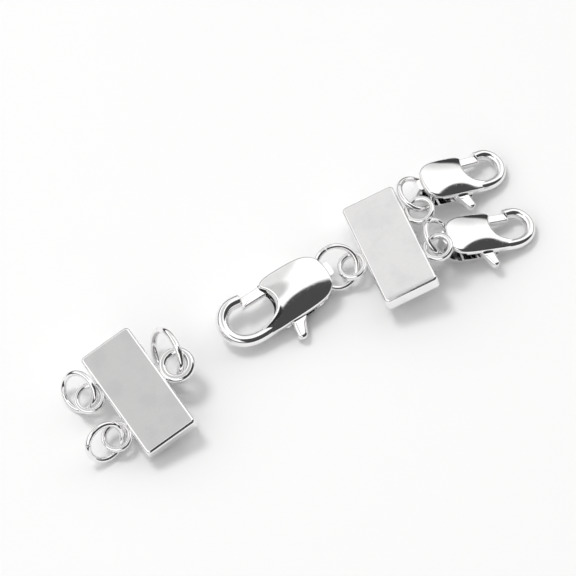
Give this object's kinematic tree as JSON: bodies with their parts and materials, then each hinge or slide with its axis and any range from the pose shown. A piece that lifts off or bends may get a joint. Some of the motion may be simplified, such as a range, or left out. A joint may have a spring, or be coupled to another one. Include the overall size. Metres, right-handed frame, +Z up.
{
  "type": "multi-strand clasp",
  "caption": "Two-part clasp that joins several bracelet or necklace strands: plain bars with cast eyelets, jump rings and lobster clasps with sprung levers.",
  "frame": {"origin": "on the floor under the middle of the box round everything", "axes": "+X to the right and +Y away from the viewer of the picture, +Z up; both halves lie on the floor as pictured"},
  "size_m": [0.0492, 0.0364, 0.0058],
  "materials": {
    "polished_metal": "bright rhodium-coloured polish"
  },
  "bodies": {
    "frame": {"hook_bar": "polished_metal", "ring_bar": "polished_metal", "large_jump_ring": "polished_metal", "upper_jump_ring": "polished_metal", "lower_jump_ring": "polished_metal", "far_strand_ring": "polished_metal", "near_strand_ring": "polished_metal", "catch_ring": "polished_metal", "large_clasp_body": "polished_metal", "large_clasp_rivet": "polished_metal", "upper_clasp_body": "polished_metal", "upper_clasp_rivet": "polished_metal", "lower_clasp_body": "polished_metal", "lower_clasp_rivet": "polished_metal"},
    "large_clasp_lever": {"large_clasp_lever": "polished_metal"},
    "upper_clasp_lever": {"upper_clasp_lever": "polished_metal"},
    "lower_clasp_lever": {"lower_clasp_lever": "polished_metal"}
  },
  "joints": [
    {"name": "large_clasp_lever_hinge", "type": "hinge", "parent": "frame", "child": "large_clasp_lever", "pos_m": [-0.00084, 0.00093, 0.00206], "axis": [0.1382, -0.1923, 0.9715], "range_deg": [0, 25], "stiffness_Nm_per_rad": 0.004, "springref_deg": -11.46},
    {"name": "upper_clasp_lever_hinge", "type": "hinge", "parent": "frame", "child": "upper_clasp_lever", "pos_m": [0.01511, 0.01379, 0.00251], "axis": [-0.2606, -0.0388, -0.9647], "range_deg": [0, 25], "stiffness_Nm_per_rad": 0.002, "springref_deg": -11.46},
    {"name": "lower_clasp_lever_hinge", "type": "hinge", "parent": "frame", "child": "lower_clasp_lever", "pos_m": [0.01772, 0.00725, 0.00225], "axis": [-0.2248, -0.0196, -0.9742], "range_deg": [0, 25], "stiffness_Nm_per_rad": 0.002, "springref_deg": -11.46}
  ]
}
